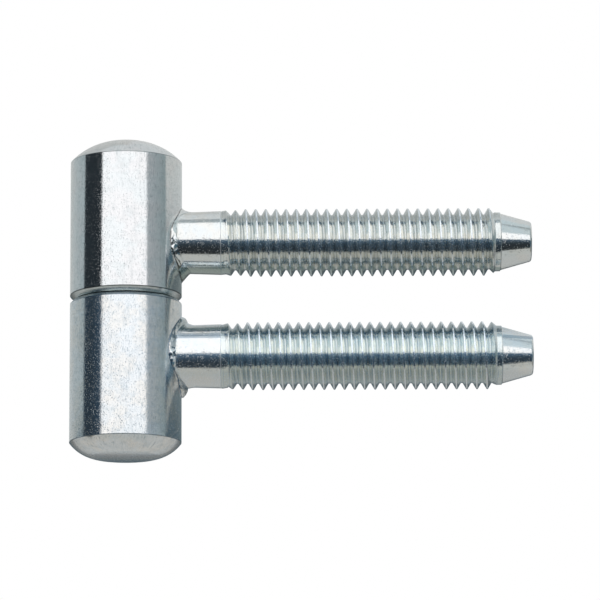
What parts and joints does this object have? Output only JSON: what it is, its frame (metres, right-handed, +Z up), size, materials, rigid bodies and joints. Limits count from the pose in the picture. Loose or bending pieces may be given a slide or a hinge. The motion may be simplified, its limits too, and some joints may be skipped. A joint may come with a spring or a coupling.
{
  "type": "drill-in hinge",
  "caption": "Two-part lift-off drill-in hinge: domed barrels on a hidden pin, each with a welded metric threaded shank.",
  "frame": {"origin": "where the pin's axis crosses the axis of the lower (frame) shank", "axes": "+Z up along the pin's axis, from the lower leaf to the upper leaf; +X along the lower shank, from the barrel to its tip; +Y completes the right-handed set, away from the camera of the picture"},
  "size_m": [0.0682, 0.0164, 0.047],
  "materials": {
    "zinc_barrel": "bright zinc plate with a faint blue passivation, turned, smooth",
    "zinc_shank": "bright zinc plate with a faint blue passivation, over a rolled thread",
    "pin_steel": "bright ground steel, oiled"
  },
  "bodies": {
    "lower_leaf": {"lower_barrel": "zinc_barrel", "lower_shank": "zinc_shank"},
    "pin": {"hinge_pin": "pin_steel"},
    "upper_leaf": {"upper_barrel": "zinc_barrel", "upper_shank": "zinc_shank"}
  },
  "joints": [
    {"name": "leaf_turn", "type": "hinge", "parent": "lower_leaf", "child": "pin", "pos_m": [0, 0, 0.0083], "axis": [0, 0, 1], "continuous": true},
    {"name": "leaf_lift", "type": "slide", "parent": "pin", "child": "upper_leaf", "axis": [0, 0, 1], "range_m": [0, 0.0175]}
  ]
}
